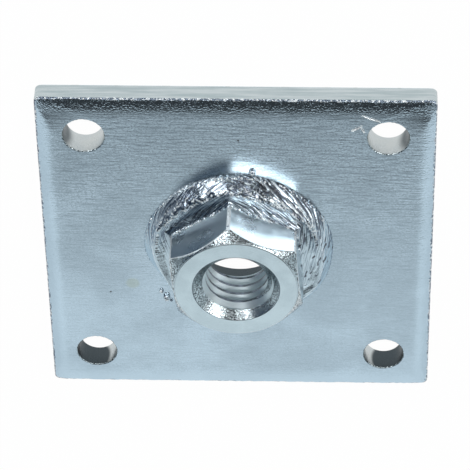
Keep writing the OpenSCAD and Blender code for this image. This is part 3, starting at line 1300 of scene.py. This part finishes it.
def light_the_room(scene):
    """A pale room that darkens overhead and on the left, with soft lamps."""
    world = bpy.data.worlds.new("pale_room")
    scene.world = world
    world.use_nodes = True
    tree = world.node_tree
    tree.nodes.clear()
    direction = add_node(tree, "ShaderNodeTexCoord").outputs["Generated"]
    parts = add_node(tree, "ShaderNodeSeparateXYZ", {0: direction}).outputs
    back = room_ramp(tree, parts["Z"], BACK_OF_ROOM, (0.84, 0.95, 1.0))
    front = room_ramp(tree, parts["Z"], FRONT_OF_ROOM, (0.88, 0.96, 1.0))
    forward = remap(tree, parts["Y"], -0.12, 0.14)
    room = mix_colour(tree, forward, back, front)
    left = times(tree, remap(tree, parts["X"], -0.65, -0.25, 1.0, 0.0), remap(tree, parts["Z"], 0.15, 0.5))
    left = times(tree, left, remap(tree, parts["Y"], -0.4, -0.1))
    room = mix_colour(tree, left, room, DARK_WALL)
    beside = remap(tree, math_node(tree, "ABSOLUTE", parts["X"]), 0.1, 0.35, 0.0, 0.16)
    beside = times(tree, beside, math_node(tree, "SUBTRACT", 1.0, forward))
    room = mix_colour(tree, beside, room, DARK_WALL)
    glow = add_node(tree, "ShaderNodeBackground", {"Color": room, "Strength": 1.0})
    add_node(tree, "ShaderNodeOutputWorld", {"Surface": glow.outputs[0]})
    for name, (direction, size, energy) in LAMPS.items():
        softbox(scene, name, direction, size, energy)


def place_camera(scene, settings):
    """A long lens that looks down on the front face from beyond the far edge."""
    lens = bpy.data.cameras.new("camera")
    lens.sensor_width = 36.0
    lens.lens = settings.lens
    lens.clip_start = 0.01
    camera = bpy.data.objects.new("camera", lens)
    camera.location = settings.camera_at
    camera.rotation_euler = settings.camera_turn
    scene.collection.objects.link(camera)
    scene.camera = camera


# Operators and the panel


class NUTPLATE_OT_base_plate(bpy.types.Operator):
    """Model the blanked plate and plate it with zinc"""

    bl_idname = "nutplate.base_plate"
    bl_label = "Base plate"

    def execute(self, context):
        plate = in_millimetres(context.scene.nut_plate_plate)
        finish = palette(context.scene.nut_plate_finish)
        deliver(
            model_plate(plate),
            "base_plate",
            "plate_zinc",
            plate_material(finish, plate.thickness, plate.side / 2),
            sheared_material(finish),
            punched_material(finish),
            # The lip: wear with a painted highlight.
            worn_and_highlight_material(finish, "dotted_zinc", 0.5, 0.3, 0.25),
            turned_material(finish, "torn_zinc", 0.42, 4.5e-5),
            # The scrapes: wear with a painted highlight.
            worn_and_highlight_material(finish, "scraped_zinc_and_highlight", 0.0, 0.4, 0.25, 3.0e-5),
        )
        return {"FINISHED"}


class NUTPLATE_OT_hex_nut(bpy.types.Operator):
    """Model the hexagon nut with its thread"""

    bl_idname = "nutplate.hex_nut"
    bl_label = "Hexagon nut"

    def execute(self, context):
        plate = in_millimetres(context.scene.nut_plate_plate)
        nut = in_millimetres(context.scene.nut_plate_nut)
        finish = palette(context.scene.nut_plate_finish)
        deliver(
            model_nut(nut, plate.thickness),
            "hex_nut",
            "nut_zinc",
            nut_material(finish, "nut_zinc", 0.26, 0.32),
            turned_material(finish, "turned_zinc", 0.43, 3.6e-5),
            # Painted shade on the thread's crests and the mouth's rim.
            painted_shade_crest_material(finish),
            # The upright edges: wear with a painted highlight.
            worn_and_highlight_material(finish, "worn_zinc_and_highlight", 0.0, 0.4, 0.25),
            nut_material(finish, "faced_zinc", 0.1, 0.13),
            nut_material(finish, "tapped_zinc", 0.3, 0.38),
        )
        return {"FINISHED"}


class NUTPLATE_OT_weld_bead(bpy.types.Operator):
    """Lay the weld bead round the nut"""

    bl_idname = "nutplate.weld_bead"
    bl_label = "Weld bead"

    def execute(self, context):
        plate = in_millimetres(context.scene.nut_plate_plate)
        nut = in_millimetres(context.scene.nut_plate_nut)
        weld = in_millimetres(context.scene.nut_plate_weld)
        finish = palette(context.scene.nut_plate_finish)
        deliver(model_weld(weld, nut, plate.thickness), "weld_bead", "weld_zinc", weld_material(finish))
        return {"FINISHED"}


class NUTPLATE_OT_weld_spatter(bpy.types.Operator):
    """Scatter the droplets beside the weld"""

    bl_idname = "nutplate.weld_spatter"
    bl_label = "Weld spatter"

    def execute(self, context):
        plate = in_millimetres(context.scene.nut_plate_plate)
        finish = palette(context.scene.nut_plate_finish)
        deliver(
            model_spatter(plate.thickness),
            "weld_spatter",
            "weld_zinc",
            worn_and_highlight_material(finish, "droplet_zinc", 0.25, 1.0, 0.1),
        )
        return {"FINISHED"}


class NUTPLATE_OT_stage(bpy.types.Operator):
    """Set up the floor, the light and the camera"""

    bl_idname = "nutplate.stage"
    bl_label = "Stage"

    def execute(self, context):
        settings = context.scene.nut_plate_stage
        lay_floor(settings)
        light_the_room(context.scene)
        place_camera(context.scene, settings)
        context.scene.view_settings.view_transform = "Standard"
        return {"FINISHED"}


class NUTPLATE_PT_sidebar(bpy.types.Panel):
    """The pieces and their sizes"""

    bl_idname = "NUTPLATE_PT_sidebar"
    bl_label = "Nut plate"
    bl_space_type = "VIEW_3D"
    bl_region_type = "UI"
    bl_category = "Nut plate"

    def draw(self, context):
        for operator in OPERATORS:
            self.layout.operator(operator.bl_idname)
        for key in SETTINGS:
            box = self.layout.box()
            settings = getattr(context.scene, key)
            for prop in own_properties(settings):
                box.prop(settings, prop.identifier)


OPERATORS = (
    NUTPLATE_OT_base_plate,
    NUTPLATE_OT_hex_nut,
    NUTPLATE_OT_weld_bead,
    NUTPLATE_OT_weld_spatter,
    NUTPLATE_OT_stage,
)


def register():
    for key, group in SETTINGS.items():
        bpy.utils.register_class(group)
        setattr(bpy.types.Scene, key, bpy.props.PointerProperty(type=group))
    for operator in OPERATORS:
        bpy.utils.register_class(operator)
    bpy.utils.register_class(NUTPLATE_PT_sidebar)


def unregister():
    bpy.utils.unregister_class(NUTPLATE_PT_sidebar)
    for operator in reversed(OPERATORS):
        bpy.utils.unregister_class(operator)
    for key, group in SETTINGS.items():
        delattr(bpy.types.Scene, key)
        bpy.utils.unregister_class(group)


def main():
    register()
    bpy.ops.nutplate.base_plate()
    bpy.ops.nutplate.hex_nut()
    bpy.ops.nutplate.weld_bead()
    bpy.ops.nutplate.weld_spatter()
    bpy.ops.nutplate.stage()


if __name__ == "__main__":
    main()
